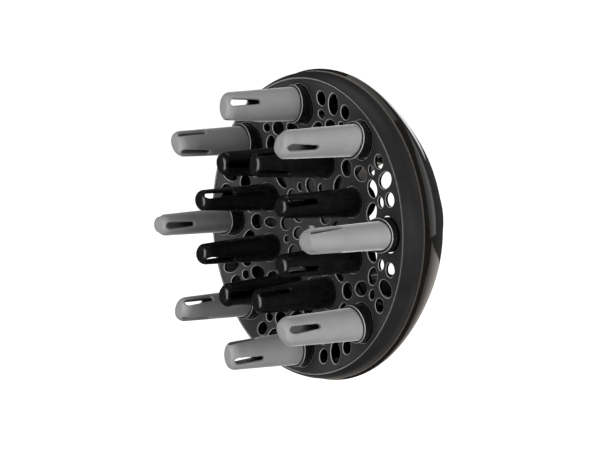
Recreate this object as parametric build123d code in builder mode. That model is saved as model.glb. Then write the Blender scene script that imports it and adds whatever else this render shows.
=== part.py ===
"""Hair-dryer diffuser: a bowl-shaped rear shell with a nozzle bore, closed by a concave vent plate
through which two rings of hollow, slotted fingers stand out.

Frame: the diffuser's axis is Y. The fingers point to -Y, the dryer's nozzle leaves to +Y, and +Z
is up. The origin is on the axis of the nozzle bore, half way along its wall. Millimetres.
A depth is measured backwards (+Y) from the plane of the face's edge, so whatever stands out in
front of that plane has a negative depth. Ring angles start at +X and turn towards +Z.
"""
import math
import os
from typing import NamedTuple

from build123d import *


class Finger(NamedTuple):
    """Outside of one kind of finger."""

    base: tuple  # half-axes (radial, tangential) at the rear of its flange
    taper: tuple  # how much each half-axis loses per millimetre towards the tip
    bend_depth: float  # in front of this depth the finger leans towards the diffuser's axis
    lean: float  # and moves this much nearer to the axis per millimetre
    tip_depth: float
    tip_round: float
    slot_far_end: float  # middle of a slot's narrow end, from the tip
    first_slot_angle: float  # 0 faces away from the diffuser's axis, 180 faces the axis


# ---- driving dimensions -------------------------------------------------------------------------
# nozzle neck
bore_radius = 28.0
bore_length = 16.0
bore_lead_in = 0.8
neck_radius = 30.0
neck_root_rise = 1.6
mouth_depth = 62.5

# dished face
face_radius = 66.0
dish_depth = 7.8
plate_radius = 65.65
plate_thickness = 1.5
vent_edge_round = 0.3

# trim band round the face
band_lip_height = 0.35
band_lip_width = 0.9
band_lip_round = 0.3
band_bulge = 0.9
band_bulge_forward = 0.25
band_rear_radius = 69.05
band_rear_depth = 8.3
band_inner_radius = 65.2
plate_ledge_radius = 64.2
plate_ledge_depth = 2.3
plate_ledge_thickness = 1.6

# rear shell
groove_width = 0.6
groove_floor_radius = 67.6
rim_radius = 69.7
carrier_ledge_radius = 63.9
carrier_ledge_thickness = 1.6

# finger rings and the oval openings of the plate (radial, tangential half-axes)
finger_count = 8
outer_ring_radius = 54.8
inner_ring_radius = 31.4
outer_opening = (9.0, 7.8)
inner_opening = (7.55, 6.65)

# carrier behind the plate
web_depth = 9.6
web_thickness = 1.6
hoop_inner_radius = 60.6
hoop_outer_radius = 64.9
hub_inner_radius = 22.6
hub_outer_radius = 26.4
arm_width = 5.0
collar_rim_depth = -3.0
collar_rim_round = 0.35
collar_outer = (8.55, 7.3)
socket_outer = (8.6, 7.65)
seat_gap = 0.15

# fingers
outer_shape = Finger(
    base=(8.05, 6.25),
    taper=(0.033, 0.024),
    bend_depth=collar_rim_depth,
    lean=0.045,
    tip_depth=-40.2,
    tip_round=3.6,
    slot_far_end=14.9,
    first_slot_angle=180,
)
inner_shape = Finger(
    base=(7.56, 6.61),
    taper=(0.05, 0.04),
    bend_depth=web_depth,
    lean=0,
    tip_depth=-33.8,
    tip_round=3.2,
    slot_far_end=15.5,
    first_slot_angle=0,
)
finger_wall = 1.3
flange_overhang = 0.7
flange_thickness = 1.4
slot_count = 3
slot_near_end = 3.3
slot_near_radius = 1.65
slot_far_radius = 1.1
slot_edge_round = 0.65
edge_tolerance = 0.05

# air baffle behind the middle of the plate
baffle_radius = 23.8
baffle_thickness = 1.0

# vents of one sector: (ring radius, half-axes) on the line between two outer fingers and on an
# outer finger's own line, and (ring radius, angle off the first line, half-axes, turn) for a vent
# that has its mirror image on the other side of it
vents_between = [
    (10.4, (3.5, 2.8)),
    (18.8, (2.0, 1.75)),
    (48.1, (3.25, 3.85)),
    (58.6, (4.9, 3.3)),
]
vents_on_finger_line = [
    (18.2, (3.45, 3.25)),
    (28.2, (4.4, 2.35)),
    (37.7, (3.75, 3.65)),
]
vents_mirrored = [
    (44.0, 11.4, (4.5, 3.2), -45),
    (51.7, 7.9, (2.0, 2.3), 0),
    (58.7, 8.2, (3.2, 2.95), 0),
]

# outside of the rear shell behind its rim, and the inside that follows it: (radius, depth), with
# the directions in which each curve leaves its first point and meets its last one
shell_outside = [(70.6, 10.6), (69.3, 15.1), (61.6, 27.3), (49.3, 39.6), (33.0, 46.8)]
shell_outside_ends = [(-0.05, 1), (-1, 0.25)]
shell_inside = [(32.0, 44.7), (47.9, 37.8), (59.9, 25.9), (68.0, 15.0)]
shell_inside_ends = [(1, -0.2), (0.28, -1)]

# ---- derived ------------------------------------------------------------------------------------
mouth_y = bore_length / 2 + bore_lead_in
face_y = mouth_y - mouth_depth
sector = 360 / finger_count
web_rear_depth = web_depth + web_thickness
carrier_ledge_depth = web_rear_depth + seat_gap
flange_rear_depth = carrier_ledge_depth + flange_thickness
dish_sphere = (face_radius**2 + dish_depth**2) / (2 * dish_depth)
groove_rear_depth = band_rear_depth + groove_width
baffle_front = plate_thickness + seat_gap


def at_depth(depth):
    """Plane across the axis at a depth; its normal points forward, to the fingers."""
    return Plane.XZ.offset(-(face_y + depth))


def section(*points):
    """Points (radius, depth) of a revolved section, placed in the XY plane."""
    return [(radius, face_y + depth) for radius, depth in points]


def dish_arc(radius, behind):
    """Half of the dished face's section, or of a surface parallel to it, that far behind."""
    arc = []
    for r in (0, radius / 2, radius):
        arc.append((r, dish_depth - dish_sphere + math.sqrt(dish_sphere**2 - r**2) + behind))
    return section(*arc)


def dished_disc(radius, front, rear):
    """Disc between two surfaces parallel to the dish, front and rear millimetres behind it."""
    with BuildPart() as disc:
        with BuildSketch(Plane.XY):
            with BuildLine():
                front_arc = dish_arc(radius, front)
                rear_arc = dish_arc(radius, rear)
                ThreePointArc(*front_arc)
                ThreePointArc(*rear_arc)
                Line(front_arc[0], rear_arc[0])
                Line(front_arc[-1], rear_arc[-1])
            make_face()
        revolve(axis=Axis.Y)
    return disc.part


def ring_of_ovals(ring_radius, half_axes, start_angle, turn=0):
    """Draws one oval per sector, its radial axis pointing outwards."""
    with PolarLocations(ring_radius, finger_count, start_angle=start_angle):
        Ellipse(*half_axes, rotation=turn)


def blunt_peg(shape, front_depth, inset):
    """Oval peg from a finger's flange forwards, everywhere this much inside its outside."""
    with BuildPart() as peg:
        for depth in (flange_rear_depth, shape.bend_depth, front_depth):
            run = flange_rear_depth - depth
            shift = shape.lean * max(shape.bend_depth - depth, 0)
            with BuildSketch(at_depth(depth)):
                with Locations((-shift, 0)):
                    radial = shape.base[0] - shape.taper[0] * run - inset
                    tangential = shape.base[1] - shape.taper[1] * run - inset
                    Ellipse(radial, tangential)
        loft(ruled=True)
    return peg.part


def rounded_peg(shape, inset):
    """A finger's outside with its rounded tip, or a surface this much inside it."""
    with BuildPart() as peg:
        add(blunt_peg(shape, shape.tip_depth + inset, inset))
        fillet(peg.faces().sort_by(Axis.Y)[0].edges(), shape.tip_round - inset)
    return peg.part


def slot_side(shape, number):
    """Plane along a finger's axis, its origin at the tip, whose normal one of the slots follows."""
    tip_shift = shape.lean * (shape.bend_depth - shape.tip_depth)
    angle = math.radians(shape.first_slot_angle + number * 360 / slot_count)
    return Plane(
        origin=(-tip_shift, face_y + shape.tip_depth, 0),
        x_dir=(0, 1, 0),
        z_dir=(math.cos(angle), 0, math.sin(angle)),
    )


def outer_lips(edges, shape, side, middle_of_wall):
    """The edges, of those given, that a slot on that side has on the outside of the finger."""
    lips = []
    for edge in edges:
        middle = edge @ 0.5
        across = side.to_local_coords(middle)
        from_slot_end = across.X - (slot_near_end - slot_near_radius)
        slot_length = shape.slot_far_end + slot_far_radius - (slot_near_end - slot_near_radius)
        in_length = -edge_tolerance < from_slot_end < slot_length + edge_tolerance
        in_width = across.Z > 0 and abs(across.Y) < slot_near_radius + edge_tolerance
        if in_length and in_width and not middle_of_wall.is_inside(middle):
            lips.append(edge)
    return lips


def make_finger(shape):
    """Hollow finger on the axis, with soft-lipped slots spread evenly round its front half."""
    middle_of_wall = rounded_peg(shape, finger_wall / 2)
    with BuildPart() as body:
        add(rounded_peg(shape, 0))
        with BuildSketch(at_depth(flange_rear_depth)):
            Ellipse(shape.base[0] + flange_overhang, shape.base[1] + flange_overhang)
        extrude(amount=flange_thickness)
        add(rounded_peg(shape, finger_wall), mode=Mode.SUBTRACT)
        for number in range(slot_count):
            side = slot_side(shape, number)
            with BuildSketch(side):
                with Locations((slot_near_end, 0)):
                    Circle(slot_near_radius)
                with Locations((shape.slot_far_end, 0)):
                    Circle(slot_far_radius)
                make_hull()
            extrude(amount=2 * shape.base[0], mode=Mode.SUBTRACT)
            lips = outer_lips(body.edges(Select.LAST), shape, side, middle_of_wall)
            fillet(lips, slot_edge_round)
    return body.part


def on_ring(part, ring_radius, angle):
    """Copy of a part from the axis to a ring position, turned to face outwards there."""
    return part.moved(Location((ring_radius, 0, 0))).rotate(Axis.Y, -angle)


def save(part, name):
    """Names a finished piece and writes it to its own file."""
    part.label = name
    export_step(part, f"parts/{name}.step")


os.makedirs("parts", exist_ok=True)

# ---- vent plate: dished grille with finger openings and vents --------------------------------------
with BuildPart() as vent_plate:
    add(dished_disc(plate_radius, 0, plate_thickness))
    with BuildSketch(at_depth(dish_depth + 2 * plate_thickness)):
        ring_of_ovals(outer_ring_radius, outer_opening, 0)
        ring_of_ovals(inner_ring_radius, inner_opening, sector / 2)
        for radius, half_axes in vents_between:
            ring_of_ovals(radius, half_axes, sector / 2)
        for radius, half_axes in vents_on_finger_line:
            ring_of_ovals(radius, half_axes, 0)
        for radius, offset, half_axes, turn in vents_mirrored:
            ring_of_ovals(radius, half_axes, sector / 2 + offset, turn)
            ring_of_ovals(radius, half_axes, sector / 2 - offset, -turn)
    extrude(amount=2 * dish_depth, mode=Mode.SUBTRACT)
    front_face = vent_plate.faces().filter_by(GeomType.SPHERE).sort_by(Axis.Y)[0]
    vent_edges = [edge for wire in front_face.inner_wires() for edge in wire.edges()]
    fillet(vent_edges, vent_edge_round)
save(vent_plate.part, "vent_plate")

# ---- trim band: satin ring that holds the plate's edge ----------------------------------------------
with BuildPart() as trim_band:
    with BuildSketch(Plane.XY):
        with BuildLine():
            lip = section((face_radius, -band_lip_height), (face_radius + band_lip_width, -band_lip_height))
            rear = section((band_rear_radius, band_rear_depth))[0]
            bulge = (Vector(*lip[1]) + Vector(*rear)) / 2 + Vector(band_bulge, -band_bulge_forward)
            inner = section(
                (groove_floor_radius, band_rear_depth),
                (groove_floor_radius, web_depth - seat_gap),
                (band_inner_radius, web_depth - seat_gap),
                (band_inner_radius, plate_ledge_depth + plate_ledge_thickness),
                (plate_ledge_radius, plate_ledge_depth + plate_ledge_thickness),
                (plate_ledge_radius, plate_ledge_depth),
                (face_radius, plate_ledge_depth),
            )
            Line(*lip)
            ThreePointArc(lip[1], bulge, rear)
            Polyline(rear, *inner, lip[0])
        make_face()
    revolve(axis=Axis.Y)
    fillet(trim_band.edges().group_by(Axis.Y)[0], band_lip_round)
save(trim_band.part, "trim_band")

# ---- rear shell: bowl with its rim bead, carrier ledge and nozzle neck ---------------------------------
with BuildPart() as rear_shell:
    with BuildSketch(Plane.XY):
        with BuildLine():
            outside = section(*shell_outside)
            inside = section(*shell_inside)
            rim = section(
                (groove_floor_radius + seat_gap, groove_rear_depth),
                (rim_radius, groove_rear_depth),
            )
            neck = section(
                (neck_radius, shell_outside[-1][1] + neck_root_rise),
                (neck_radius, mouth_depth),
                (bore_radius + bore_lead_in, mouth_depth),
                (bore_radius, mouth_depth - bore_lead_in),
                (bore_radius, mouth_depth - bore_lead_in - bore_length),
            )
            ledge = section(
                (shell_inside[-1][0], carrier_ledge_depth + carrier_ledge_thickness),
                (carrier_ledge_radius, carrier_ledge_depth + carrier_ledge_thickness),
                (carrier_ledge_radius, carrier_ledge_depth),
                (groove_floor_radius + seat_gap, carrier_ledge_depth),
            )
            Line(*rim)
            Line(rim[1], outside[0])
            Spline(*outside, neck[0], tangents=shell_outside_ends)
            Polyline(*neck)
            Spline(neck[-1], *inside, tangents=shell_inside_ends)
            Polyline(inside[-1], *ledge, rim[0])
        make_face()
    revolve(axis=Axis.Y)
save(rear_shell.part, "rear_shell")

# ---- finger carrier: web, hoop and hub, with a collar or a socket round each finger ------------------
with BuildPart() as finger_carrier:
    with BuildSketch(at_depth(web_rear_depth)):
        Circle(hoop_outer_radius)
        Circle(hoop_inner_radius, mode=Mode.SUBTRACT)
        Circle(hub_outer_radius)
        with PolarLocations(0, finger_count):
            Rectangle(hoop_outer_radius - 1, arm_width, align=(Align.MIN, Align.CENTER))
        ring_of_ovals(outer_ring_radius, collar_outer, 0)
        ring_of_ovals(inner_ring_radius, socket_outer, sector / 2)
        Circle(hub_inner_radius, mode=Mode.SUBTRACT)
    extrude(amount=web_thickness)
    with BuildSketch(at_depth(web_rear_depth)):
        ring_of_ovals(outer_ring_radius, collar_outer, 0)
    extrude(amount=web_rear_depth - collar_rim_depth)
    fillet(finger_carrier.edges().group_by(Axis.Y)[0], collar_rim_round)
    outer_clearance = blunt_peg(outer_shape, collar_rim_depth - 1, -seat_gap)
    inner_clearance = blunt_peg(inner_shape, web_depth - 1, -seat_gap)
    for number in range(finger_count):
        add(on_ring(outer_clearance, outer_ring_radius, number * sector), mode=Mode.SUBTRACT)
        add(on_ring(inner_clearance, inner_ring_radius, (number + 0.5) * sector), mode=Mode.SUBTRACT)
save(finger_carrier.part, "finger_carrier")

# ---- air baffle: blank disc that turns the air stream away from the middle ---------------------------
with BuildPart() as air_baffle:
    add(dished_disc(baffle_radius, baffle_front, baffle_front + baffle_thickness))
save(air_baffle.part, "air_baffle")

# ---- fingers ------------------------------------------------------------------------------------
outer_finger = make_finger(outer_shape)
inner_finger = make_finger(inner_shape)
for number in range(finger_count):
    with BuildPart() as placed_outer_finger:
        add(on_ring(outer_finger, outer_ring_radius, number * sector))
    save(placed_outer_finger.part, f"outer_finger_{number + 1}")
    with BuildPart() as placed_inner_finger:
        add(on_ring(inner_finger, inner_ring_radius, (number + 0.5) * sector))
    save(placed_inner_finger.part, f"inner_finger_{number + 1}")
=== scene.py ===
"""Hair-dryer diffuser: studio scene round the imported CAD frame, in metres."""
import math

import bpy
from mathutils import Matrix, Vector


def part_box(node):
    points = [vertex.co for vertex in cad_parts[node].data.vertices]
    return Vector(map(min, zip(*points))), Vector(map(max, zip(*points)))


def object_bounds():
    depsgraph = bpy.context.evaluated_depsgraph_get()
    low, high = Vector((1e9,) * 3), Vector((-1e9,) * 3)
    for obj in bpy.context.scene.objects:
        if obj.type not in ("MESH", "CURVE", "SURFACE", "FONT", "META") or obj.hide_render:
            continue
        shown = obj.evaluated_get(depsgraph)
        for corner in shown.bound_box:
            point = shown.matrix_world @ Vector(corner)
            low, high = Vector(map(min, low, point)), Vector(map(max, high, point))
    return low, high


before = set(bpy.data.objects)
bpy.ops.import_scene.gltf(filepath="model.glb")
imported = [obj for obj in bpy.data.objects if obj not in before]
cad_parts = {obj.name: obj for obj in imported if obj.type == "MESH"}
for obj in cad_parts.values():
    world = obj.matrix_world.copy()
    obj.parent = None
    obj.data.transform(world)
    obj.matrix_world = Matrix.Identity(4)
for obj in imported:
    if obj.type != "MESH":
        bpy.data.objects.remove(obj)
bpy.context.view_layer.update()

FINGER_COUNT = 8


# ---- shader helpers -----------------------------------------------------------------------------
def new_material(name, base, roughness, **sockets):
    """Principled material with plain settings; returns it with its node tree and shader."""
    material = bpy.data.materials.new(name)
    material.use_nodes = True
    tree = material.node_tree
    shader = tree.nodes["Principled BSDF"]
    shader.inputs["Base Color"].default_value = (*base, 1)
    shader.inputs["Roughness"].default_value = roughness
    for socket, value in sockets.items():
        shader.inputs[socket.replace("_", " ")].default_value = value
    return material, tree, shader


def noise(tree, scale, detail=4.0, rough=0.6):
    """Noise texture in object space, so that its grain has a real size (scale per metre)."""
    coords = tree.nodes.new("ShaderNodeTexCoord")
    texture = tree.nodes.new("ShaderNodeTexNoise")
    texture.inputs["Scale"].default_value = scale
    texture.inputs["Detail"].default_value = detail
    texture.inputs["Roughness"].default_value = rough
    tree.links.new(coords.outputs["Object"], texture.inputs["Vector"])
    return texture.outputs["Fac"]


def spread(tree, factor, low, high):
    """Maps a noise's usual range to low..high."""
    mapping = tree.nodes.new("ShaderNodeMapRange")
    mapping.inputs["From Min"].default_value = 0.3
    mapping.inputs["From Max"].default_value = 0.7
    mapping.inputs["To Min"].default_value = low
    mapping.inputs["To Max"].default_value = high
    tree.links.new(factor, mapping.inputs["Value"])
    return mapping.outputs["Result"]


def bump(tree, shader, height, strength, distance):
    """Fine relief on the shader's normal."""
    relief = tree.nodes.new("ShaderNodeBump")
    relief.inputs["Strength"].default_value = strength
    relief.inputs["Distance"].default_value = distance
    tree.links.new(height, relief.inputs["Height"])
    tree.links.new(relief.outputs["Normal"], shader.inputs["Normal"])


def tint(tree, shader, factor, dark, light):
    """Base colour that wanders between two close tones; returns its ramp."""
    ramp = tree.nodes.new("ShaderNodeValToRGB")
    ramp.color_ramp.elements[0].position = 0.3
    ramp.color_ramp.elements[1].position = 0.7
    ramp.color_ramp.elements[0].color = (*dark, 1)
    ramp.color_ramp.elements[1].color = (*light, 1)
    tree.links.new(factor, ramp.inputs["Fac"])
    tree.links.new(ramp.outputs["Color"], shader.inputs["Base Color"])
    return ramp


def ranged(tree, value, start, end):
    """0 where the value is at the start, 1 where it is at the end, clamped."""
    mapping = tree.nodes.new("ShaderNodeMapRange")
    mapping.inputs["From Min"].default_value = start
    mapping.inputs["From Max"].default_value = end
    tree.links.new(value, mapping.inputs["Value"])
    return mapping.outputs["Result"]


def front_facing(tree):
    """How far a surface turns to the front (-Y): 0 for a wall along the axis, 1 for the face."""
    geometry = tree.nodes.new("ShaderNodeNewGeometry")
    split = tree.nodes.new("ShaderNodeSeparateXYZ")
    tree.links.new(geometry.outputs["Normal"], split.inputs["Vector"])
    return ranged(tree, split.outputs["Y"], 0, -1)


def mixed(tree, factor, first, second):
    """Colour between two; each is a fixed colour or another node's output."""
    mix = tree.nodes.new("ShaderNodeMix")
    mix.data_type = "RGBA"
    tree.links.new(factor, mix.inputs["Factor"])
    for socket, colour in (("A", first), ("B", second)):
        if isinstance(colour, tuple):
            mix.inputs[socket].default_value = (*colour, 1)
        else:
            tree.links.new(colour, mix.inputs[socket])
    return mix.outputs["Result"]


# ---- materials ----------------------------------------------------------------------------------
FACE_FROM, FACE_FULL = 0.9, 0.965  # front_facing at which a rounded edge ends and the face begins
SLOT_REACH = 0.012                 # how far the finger's skin looks for walls that shade it, m
LIP_RADIUS, LIP_WIDTH = 0.0663, 0.0003


def soft_grey():
    """Soft-touch grey skin of the outer fingers: satin, powdery, with painted shade darkening it
    down inside its slots.
    """
    material, tree, shader = new_material("soft_grey", (0.3, 0.3, 0.3), 0.5, Sheen_Weight=1.0)
    shader.inputs["Sheen Roughness"].default_value = 0.3
    cloud = noise(tree, 120, 3)
    skin = tint(tree, shader, cloud, (0.25, 0.248, 0.248), (0.285, 0.283, 0.285))
    occlusion_probe = tree.nodes.new("ShaderNodeAmbientOcclusion")
    occlusion_probe.inputs["Distance"].default_value = SLOT_REACH
    unshaded = ranged(tree, occlusion_probe.outputs["AO"], 0.1, 0.32)
    # painted shade: the skin turns near black where ambient occlusion finds walls close by, down
    # inside the slots
    colour = mixed(tree, unshaded, (0.012, 0.008, 0.007), skin.outputs["Color"])
    tree.links.new(colour, shader.inputs["Base Color"])
    tree.links.new(spread(tree, cloud, 0.42, 0.52), shader.inputs["Roughness"])
    bump(tree, shader, noise(tree, 6000, 2), 0.12, 0.00004)
    return material


def gloss_black():
    """Polished black plastic of the inner fingers."""
    material, tree, shader = new_material("gloss_black", (0.004, 0.004, 0.004), 0.25)
    cloud = noise(tree, 250, 4)
    tint(tree, shader, cloud, (0.003, 0.003, 0.003), (0.007, 0.006, 0.006))
    tree.links.new(spread(tree, cloud, 0.24, 0.28), shader.inputs["Roughness"])
    return material


def collar_black():
    """The same black on the collars, with a painted highlight along their front rims and their
    front faces painted a touch lighter.
    """
    material, tree, shader = new_material("collar_black", (0.006, 0.006, 0.006), 0.2)
    cloud = noise(tree, 250, 4)
    body = tint(tree, shader, cloud, (0.004, 0.004, 0.004), (0.01, 0.009, 0.009))
    facing = front_facing(tree)
    rim_highlight_colour, front = (0.42, 0.4, 0.38), (0.03, 0.03, 0.03)
    # painted highlight: a pale band where the rim turns from the side wall to the front, and a
    # painted lift on the front face
    rim = mixed(tree, ranged(tree, facing, 0.15, 0.4), body.outputs["Color"], rim_highlight_colour)
    colour = mixed(tree, ranged(tree, facing, 0.9, 0.97), rim, front)
    tree.links.new(colour, shader.inputs["Base Color"])
    tree.links.new(spread(tree, cloud, 0.15, 0.25), shader.inputs["Roughness"])
    return material


def charcoal(name):
    """Fine-grained charcoal front, a painted highlight along the rounded edges of its openings,
    black walls.
    """
    material, tree, shader = new_material(name, (0.04, 0.04, 0.04), 0.45)
    cloud = noise(tree, 90, 3)
    face = tint(tree, shader, cloud, (0.023, 0.023, 0.0235), (0.031, 0.031, 0.0315))
    facing = front_facing(tree)
    wall, edge_highlight_colour = (0.003, 0.003, 0.003), (0.5, 0.49, 0.47)
    # painted highlight: pale where the rounded edges turn from the walls to the face
    edge = mixed(tree, ranged(tree, facing, 0.12, 0.35), wall, edge_highlight_colour)
    colour = mixed(tree, ranged(tree, facing, FACE_FROM, FACE_FULL), edge, face.outputs["Color"])
    tree.links.new(colour, shader.inputs["Base Color"])
    tree.links.new(spread(tree, cloud, 0.36, 0.42), shader.inputs["Roughness"])
    bump(tree, shader, noise(tree, 5000, 3), 0.2, 0.00005)
    return material


def satin_band():
    """Satin charcoal of the trim band, with a painted highlight along the lip beside the plate."""
    material, tree, shader = new_material("satin_band", (0.016, 0.016, 0.017), 0.35)
    cloud = noise(tree, 80, 3)
    body = tint(tree, shader, cloud, (0.012, 0.012, 0.013), (0.018, 0.018, 0.019))
    coords = tree.nodes.new("ShaderNodeTexCoord")
    across = tree.nodes.new("ShaderNodeVectorMath")
    across.operation = "MULTIPLY"
    across.inputs[1].default_value = (1, 0, 1)
    radius = tree.nodes.new("ShaderNodeVectorMath")
    radius.operation = "LENGTH"
    tree.links.new(coords.outputs["Object"], across.inputs[0])
    tree.links.new(across.outputs["Vector"], radius.inputs[0])
    # painted highlight: a thin pale ring on the lip where the band meets the plate
    lip = ranged(tree, radius.outputs["Value"], LIP_RADIUS + LIP_WIDTH, LIP_RADIUS)
    colour = mixed(tree, lip, body.outputs["Color"], (0.3, 0.29, 0.28))
    tree.links.new(colour, shader.inputs["Base Color"])
    tree.links.new(spread(tree, cloud, 0.4, 0.48), shader.inputs["Roughness"])
    bump(tree, shader, noise(tree, 5000, 3), 0.1, 0.00004)
    return material


def gloss_shell():
    """High-gloss black bowl, slightly wavy as moulded plastic is, with a painted highlight along
    the crest of its bead.
    """
    material, tree, shader = new_material("gloss_shell", (0.006, 0.0055, 0.005), 0.08)
    cloud = noise(tree, 60, 4)
    body = tint(tree, shader, cloud, (0.005, 0.0045, 0.004), (0.009, 0.008, 0.007))
    # painted highlight: a pale line where the bead's crest faces straight to the front
    crest_highlight = ranged(tree, front_facing(tree), 0.95, 0.99)
    colour = mixed(tree, crest_highlight, body.outputs["Color"], (0.24, 0.215, 0.195))
    tree.links.new(colour, shader.inputs["Base Color"])
    tree.links.new(spread(tree, cloud, 0.06, 0.12), shader.inputs["Roughness"])
    bump(tree, shader, noise(tree, 45, 1), 0.05, 0.0002)
    return material


def dress(node, material):
    """Gives a CAD node its finish in every material slot."""
    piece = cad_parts[node]
    if not piece.data.materials:
        piece.data.materials.append(material)
    for index in range(len(piece.data.materials)):
        piece.data.materials[index] = material


dress("vent_plate", charcoal("charcoal_plate"))
dress("air_baffle", charcoal("charcoal_baffle"))
dress("trim_band", satin_band())
dress("rear_shell", gloss_shell())
dress("finger_carrier", collar_black())
grey, black = soft_grey(), gloss_black()
for number in range(1, FINGER_COUNT + 1):
    dress(f"outer_finger_{number}", grey)
    dress(f"inner_finger_{number}", black)

# ---- camera -------------------------------------------------------------------------------------
# as fitted to the photo's rings of fingers and rim circles
AZIMUTH, ELEVATION = math.radians(50.47), math.radians(5.87)
RING_TURN = math.radians(1.03)         # about the part's own axis
CAMERA_DISTANCE = 0.4864               # from the face's centre
LENS_MM, SENSOR_MM = 65.03, 36.0
LOOK_RIGHT, LOOK_UP = 0.0007, 0.00082  # the picture's middle, from the face's centre
LIP_HEIGHT = 0.00035                   # of the trim band's lip in front of the face
CLIP_START = 0.01

low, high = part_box("trim_band")
face_centre = Vector(((low.x + high.x) / 2, low.y + LIP_HEIGHT, (low.z + high.z) / 2))
ring_turn = Matrix.Rotation(RING_TURN, 3, "Y")
towards_camera = ring_turn @ Vector((
    math.sin(AZIMUTH) * math.cos(ELEVATION),
    -math.cos(AZIMUTH) * math.cos(ELEVATION),
    math.sin(ELEVATION),
))
picture_right = ring_turn @ Vector((math.cos(AZIMUTH), math.sin(AZIMUTH), 0))
picture_up = towards_camera.cross(picture_right)


def from_face(right, up, towards):
    """Point given from the face's centre, along the picture's right and up and to the camera."""
    return face_centre + picture_right * right + picture_up * up + towards_camera * towards


def aim(obj, place, target, upright):
    """Puts an object at a place, its -Z axis on the target and its Y axis near the upright."""
    back = (place - target).normalized()
    right = upright.cross(back).normalized()
    up = back.cross(right)
    obj.matrix_world = Matrix((
        (right.x, up.x, back.x, place.x),
        (right.y, up.y, back.y, place.y),
        (right.z, up.z, back.z, place.z),
        (0, 0, 0, 1),
    ))


camera = bpy.data.objects.new("camera", bpy.data.cameras.new("camera"))
camera.data.lens = LENS_MM
camera.data.sensor_width = SENSOR_MM
camera.data.clip_start = CLIP_START
bpy.context.scene.collection.objects.link(camera)
look_at = from_face(LOOK_RIGHT, LOOK_UP, 0)
aim(camera, from_face(LOOK_RIGHT, LOOK_UP, CAMERA_DISTANCE), look_at, picture_up)
bpy.context.scene.camera = camera


# ---- light --------------------------------------------------------------------------------------
def softbox(name, place, target, width, height, power, colour=(1, 1, 1)):
    """Soft rectangular lamp, returned; its size is in metres and its power in watts."""
    lamp = bpy.data.lights.new(name, "AREA")
    lamp.shape = "RECTANGLE"
    lamp.size, lamp.size_y = width, height
    lamp.energy = power
    lamp.color = colour
    obj = bpy.data.objects.new(name, lamp)
    bpy.context.scene.collection.objects.link(obj)
    aim(obj, place, target, Vector((0, 0, 1)))
    obj.visible_camera = False
    return obj


# the key stands close on the right, so that it reaches the near fingers most
key = softbox("key", from_face(0.30, -0.03, 0.36), from_face(0.03, 0, 0.04), 0.2, 0.3, 2.2)
key.visible_glossy = False
softbox("left_front", from_face(-0.50, -0.02, 0.32), face_centre, 0.3, 0.6, 3.2)
softbox("top", from_face(0.05, 0.60, 0.0), face_centre, 0.5, 0.25, 0.3)

# cards behind the object, which only its glossy pieces mirror; the low one is warm like a table
WARM = (1, 0.93, 0.86)
for card in (
    softbox("right_card", from_face(0.61, 0.17, -0.27), face_centre, 0.55, 0.44, 0.34),
    softbox("low_card", from_face(0.32, -0.34, -0.60), face_centre, 1.5, 0.6, 1.3, WARM),
    softbox("back_card", from_face(0.3, 0.34, -0.9), face_centre, 0.25, 0.3, 0.3),
):
    card.visible_diffuse = False

# ---- floor and backdrop -------------------------------------------------------------------------
FLOOR_DROP, FLOOR_SIZE = 0.25, 12.0
BACKDROP_GLOW = 1.05        # just over white, so that floor and backdrop meet without a line
DIFFUSE_FILL, MIRRORED = 0.24, 0.05
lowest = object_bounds()[0].z
bpy.ops.mesh.primitive_plane_add(size=FLOOR_SIZE, location=(0, 0, lowest - FLOOR_DROP))
floor = bpy.context.object
floor.name = "floor"
pale, tree, shader = new_material("pale_floor", (0.9, 0.9, 0.9), 0.6)
tint(tree, shader, noise(tree, 3, 2), (0.88, 0.88, 0.88), (0.92, 0.92, 0.92))
shader.inputs["Emission Color"].default_value = (1, 1, 1, 1)
shader.inputs["Emission Strength"].default_value = BACKDROP_GLOW
floor.data.materials.append(pale)
floor.visible_diffuse = False
floor.visible_glossy = False

world = bpy.data.worlds.new("studio")
bpy.context.scene.world = world
world.use_nodes = True
nodes, links = world.node_tree.nodes, world.node_tree.links
background = nodes["Background"]
path = nodes.new("ShaderNodeLightPath")
surroundings = background.inputs["Color"]
for ray, brightness in (("Is Camera Ray", BACKDROP_GLOW), ("Is Diffuse Ray", DIFFUSE_FILL)):
    seen = nodes.new("ShaderNodeMix")
    seen.data_type = "RGBA"
    seen.inputs["A"].default_value = (MIRRORED, MIRRORED, MIRRORED, 1)
    seen.inputs["B"].default_value = (brightness, brightness, brightness, 1)
    links.new(path.outputs[ray], seen.inputs["Factor"])
    links.new(seen.outputs["Result"], surroundings)
    surroundings = seen.inputs["A"]
bpy.context.scene.view_settings.view_transform = "Standard"
